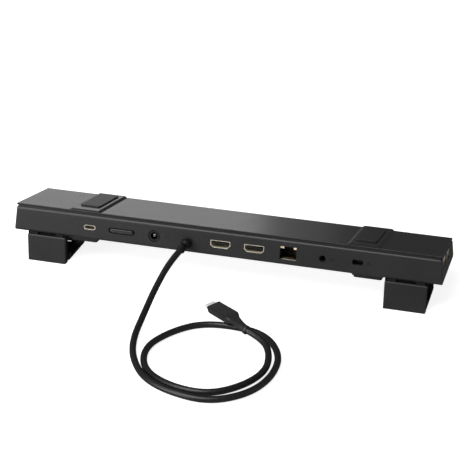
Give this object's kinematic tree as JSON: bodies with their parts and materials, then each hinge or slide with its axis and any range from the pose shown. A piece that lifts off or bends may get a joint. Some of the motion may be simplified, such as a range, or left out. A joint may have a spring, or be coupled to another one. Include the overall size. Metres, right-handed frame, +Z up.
{
  "type": "laptop docking station",
  "caption": "Slim bar-shaped laptop docking station with front and side ports, raised rubber rests, folding stands under both ends and a captive cable with a plug.",
  "frame": {"origin": "on the desk, under the middle of the object without its cable", "axes": "+X along the bar towards the end with the two side ports, +Y from the port face towards the back, +Z up from the desk"},
  "size_m": [0.3242, 0.2172, 0.0456],
  "materials": {
    "housing_plastic": "satin black moulding",
    "cover_plastic": "satin black moulding with a fine texture",
    "rubber": "matt black rubber",
    "connector_metal": "plated sheet metal",
    "connector_plastic": "black moulding",
    "contact_gold": "gold plated",
    "light_pipe": "clear warm plastic",
    "steel": "bright steel",
    "button_plastic": "satin black",
    "circuit_board": "green solder mask",
    "chip_plastic": "black package",
    "ferrite": "grey ferrite",
    "aluminium": "plain aluminium",
    "stand_plastic": "satin black moulding",
    "stand_steel": "black painted sheet steel",
    "cable_jacket": "black cable jacket",
    "plug_plastic": "black overmould",
    "plug_metal": "bright plated steel"
  },
  "bodies": {
    "root": {"audio_jack": "connector_plastic", "board_ribbon": "circuit_board", "board_screws": "steel", "bottom_pad_left": "rubber", "bottom_pad_right": "rubber", "button_switch": "connector_plastic", "cable_boot": "cable_jacket", "cable_gland": "rubber", "cable_tail": "cable_jacket", "cable_tube": "cable_jacket", "capacitors": "aluminium", "case_screws": "steel", "controller_chip": "chip_plastic", "dc_jack_body": "connector_plastic", "dc_jack_pin": "steel", "ethernet_body": "connector_plastic", "ethernet_chip": "chip_plastic", "ethernet_contacts": "contact_gold", "ethernet_lights": "light_pipe", "ethernet_shield": "connector_metal", "ethernet_transformer": "chip_plastic", "hdmi_insert_1": "connector_plastic", "hdmi_insert_2": "connector_plastic", "hdmi_shell_1": "connector_metal", "hdmi_shell_2": "connector_metal", "heat_spreader": "aluminium", "lock_plate": "steel", "lower_housing": "housing_plastic", "main_board": "circuit_board", "plug_body": "plug_plastic", "plug_neck": "plug_plastic", "plug_shell": "plug_metal", "power_inductors": "ferrite", "stand_upper_pins_left": "steel", "stand_upper_pins_right": "steel", "top_cover": "cover_plastic", "top_pad_left": "rubber", "top_pad_right": "rubber", "usb_a_shell_front": "connector_metal", "usb_a_shell_rear": "connector_metal", "usb_a_tongue_front": "connector_plastic", "usb_a_tongue_rear": "connector_plastic", "usb_board": "circuit_board", "usb_c_shell": "connector_metal", "usb_c_tongue": "connector_plastic", "usb_hub_chip": "chip_plastic", "video_chips": "chip_plastic"},
    "button": {"power_button": "button_plastic"},
    "leg_left": {"stand_leg_left": "stand_plastic", "stand_toe_pin_left": "steel"},
    "base_left": {"stand_base_left": "stand_steel", "stand_sole_left": "rubber", "stand_link_pin_left": "steel"},
    "link_left": {"stand_link_left": "stand_steel"},
    "leg_right": {"stand_leg_right": "stand_plastic", "stand_toe_pin_right": "steel"},
    "base_right": {"stand_base_right": "stand_steel", "stand_sole_right": "rubber", "stand_link_pin_right": "steel"},
    "link_right": {"stand_link_right": "stand_steel"}
  },
  "joints": [
    {"name": "stand_left_fold", "type": "hinge", "parent": "root", "child": "leg_left", "pos_m": [-0.13665, -0.02617, 0.0234], "axis": [1, 0, 0], "range_deg": [0, 89]},
    {"name": "stand_left_base_hinge", "type": "hinge", "parent": "leg_left", "child": "base_left", "pos_m": [-0.13665, -0.02834, 0.0022], "axis": [1, 0, 0], "range_deg": [-89, 0]},
    {"name": "stand_left_link_hinge", "type": "hinge", "parent": "root", "child": "link_left", "pos_m": [-0.13665, 0.00682, 0.024], "axis": [1, 0, 0], "range_deg": [0, 89]},
    {"name": "stand_right_fold", "type": "hinge", "parent": "root", "child": "leg_right", "pos_m": [0.13665, -0.02617, 0.0234], "axis": [1, 0, 0], "range_deg": [0, 89]},
    {"name": "stand_right_base_hinge", "type": "hinge", "parent": "leg_right", "child": "base_right", "pos_m": [0.13665, -0.02834, 0.0022], "axis": [1, 0, 0], "range_deg": [-89, 0]},
    {"name": "stand_right_link_hinge", "type": "hinge", "parent": "root", "child": "link_right", "pos_m": [0.13665, 0.00682, 0.024], "axis": [1, 0, 0], "range_deg": [0, 89]},
    {"name": "power_button_press", "type": "slide", "parent": "root", "child": "button", "axis": [0, 0.9763, -0.2164], "range_m": [0, 0.0006], "stiffness_N_per_m": 1000, "springref_m": -0.0004}
  ],
  "couplings": [
    {"joint": "stand_left_base_hinge", "follows": "stand_left_fold", "ratio": -1},
    {"joint": "stand_left_link_hinge", "follows": "stand_left_fold", "ratio": 1},
    {"joint": "stand_right_base_hinge", "follows": "stand_right_fold", "ratio": -1},
    {"joint": "stand_right_link_hinge", "follows": "stand_right_fold", "ratio": 1}
  ]
}
